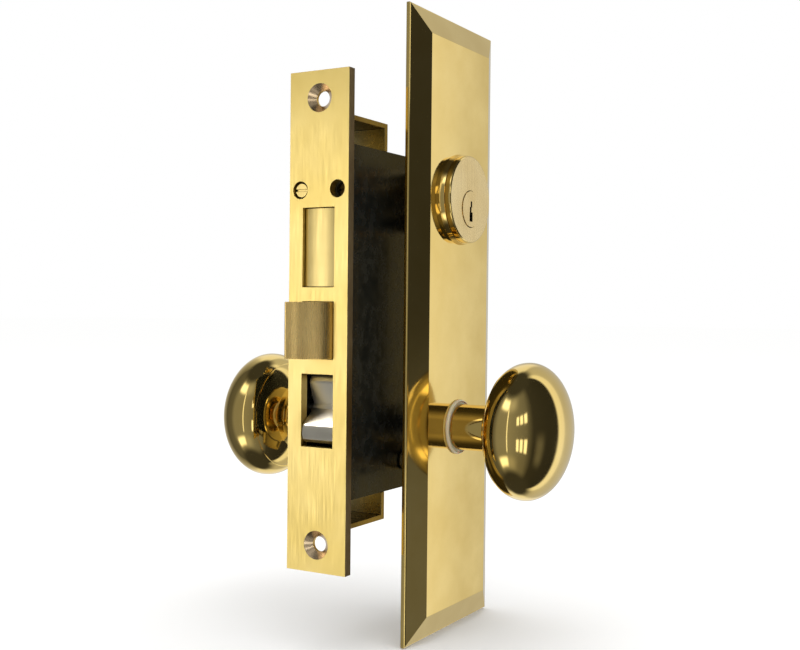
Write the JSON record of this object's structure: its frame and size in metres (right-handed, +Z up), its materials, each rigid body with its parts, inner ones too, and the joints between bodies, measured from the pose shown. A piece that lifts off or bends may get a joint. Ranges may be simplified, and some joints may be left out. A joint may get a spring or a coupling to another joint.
{
  "type": "mortise lock",
  "caption": "Mortise lock with a narrow front, spring latch, deadbolt and stop rocker, a long bevelled plate, key cylinder, thumb turn and oval knobs.",
  "frame": {"origin": "centre of the front's outer face, which is flush with the door's edge", "axes": "-Y out of the door's edge, +Y into the door, +X out of its outside (key) face, +Z up"},
  "size_m": [0.17, 0.1143, 0.2667],
  "materials": {
    "satin_brass": "brushed brass, satin",
    "polished_brass": "polished and lacquered brass",
    "machined_brass": "machined brass",
    "black_enamel": "gloss black enamel on cast iron",
    "zinc_steel": "zinc plated steel",
    "spring_steel": "plain spring steel",
    "nickel_plate": "bright nickel plate",
    "nylon": "natural nylon"
  },
  "bodies": {
    "root": {"front_plate": "satin_brass", "top_bracket": "satin_brass", "bottom_bracket": "satin_brass", "escutcheon": "polished_brass", "inside_knob_rose": "polished_brass", "turn_rose": "polished_brass", "cylinder_collar": "polished_brass", "cylinder_body": "polished_brass", "through_bolts": "polished_brass", "turn_rose_screws": "polished_brass", "cylinder_set_screw": "polished_brass", "spare_set_screw": "polished_brass", "driver_pins": "machined_brass", "escutcheon_posts": "machined_brass", "case_body": "black_enamel", "case_cover": "black_enamel", "cover_screws": "zinc_steel", "case_posts": "zinc_steel", "latch_guide": "zinc_steel", "deadbolt_guide_post": "zinc_steel", "stop_pivot_pin": "zinc_steel", "stop_slide_guide": "zinc_steel", "latch_spring": "spring_steel", "deadbolt_detent_spring": "spring_steel", "stop_detent_spring": "spring_steel", "stop_return_spring": "spring_steel", "driver_springs": "spring_steel", "outside_knob_washer": "nylon", "inside_knob_washer": "nylon"},
    "outside_knob_group": {"outside_knob": "polished_brass", "outside_knob_back": "polished_brass", "outside_knob_shank": "polished_brass", "outside_knob_screw": "zinc_steel", "outside_spindle": "zinc_steel", "outside_hub": "zinc_steel"},
    "inside_knob_group": {"inside_knob": "polished_brass", "inside_knob_back": "polished_brass", "inside_knob_shank": "polished_brass", "inside_knob_screw": "zinc_steel", "inside_spindle": "zinc_steel", "inside_hub": "zinc_steel"},
    "outside_retractor_body": {"outside_retractor": "zinc_steel"},
    "latch": {"latch_bolt": "satin_brass", "latch_tail": "zinc_steel", "latch_tail_nut": "zinc_steel", "inside_retractor": "zinc_steel"},
    "key_plug": {"cylinder_plug": "machined_brass", "key_pins": "machined_brass", "cylinder_cam": "zinc_steel", "cam_screws": "zinc_steel"},
    "deadbolt_body": {"deadbolt": "satin_brass", "deadbolt_tail": "zinc_steel", "tail_rivets": "zinc_steel"},
    "turn": {"thumb_turn": "polished_brass", "turn_spindle": "zinc_steel", "turn_hub": "zinc_steel"},
    "rocker": {"stop_rocker": "nickel_plate"},
    "stop_slide_body": {"stop_slide": "zinc_steel"}
  },
  "joints": [
    {"name": "outside_knob_turn", "type": "hinge", "parent": "root", "child": "outside_knob_group", "pos_m": [0, 0.0635, -0.0459], "axis": [-1, 0, 0], "range_deg": [0, 52.5], "stiffness_Nm_per_rad": 0.25, "springref_deg": -28.65},
    {"name": "outside_retractor_slide", "type": "slide", "parent": "root", "child": "outside_retractor_body", "axis": [0, 1, 0], "range_m": [0, 0.0127]},
    {"name": "inside_knob_turn", "type": "hinge", "parent": "root", "child": "inside_knob_group", "pos_m": [0, 0.0635, -0.0459], "axis": [-1, 0, 0], "range_deg": [0, 52.5], "stiffness_Nm_per_rad": 0.25, "springref_deg": -28.65},
    {"name": "latch_slide", "type": "slide", "parent": "outside_retractor_body", "child": "latch", "axis": [0, 1, 0], "range_m": [0, 0.0127], "deforming": ["latch_spring"]},
    {"name": "key_turn", "type": "hinge", "parent": "root", "child": "key_plug", "pos_m": [0, 0.0635, 0.0494], "axis": [-1, 0, 0], "range_deg": [0, 100]},
    {"name": "thumb_turn_turn", "type": "hinge", "parent": "root", "child": "turn", "pos_m": [0, 0.0635, 0.0494], "axis": [-1, 0, 0], "range_deg": [0, 100]},
    {"name": "deadbolt_slide", "type": "slide", "parent": "root", "child": "deadbolt_body", "axis": [0, -1, 0], "range_m": [0, 0.0254], "deforming": ["deadbolt_detent_spring"]},
    {"name": "stop_rock", "type": "hinge", "parent": "root", "child": "rocker", "pos_m": [0, 0.013, -0.036], "axis": [1, 0, 0], "range_deg": [0, 30], "deforming": ["stop_detent_spring"]},
    {"name": "stop_slide_move", "type": "slide", "parent": "root", "child": "stop_slide_body", "axis": [0, 1, 0], "range_m": [0, 0.0045], "deforming": ["stop_return_spring"]}
  ],
  "couplings": [
    {"joint": "outside_retractor_slide", "follows": "outside_knob_turn", "m_per_rad": 0.01386},
    {"joint": "latch_slide", "follows": "inside_knob_turn", "m_per_rad": 0.01386},
    {"joint": "key_turn", "follows": "deadbolt_slide", "rad_per_m": 68.713},
    {"joint": "thumb_turn_turn", "follows": "deadbolt_slide", "rad_per_m": 68.713},
    {"joint": "stop_rock", "follows": "stop_slide_move", "rad_per_m": 116.35}
  ]
}
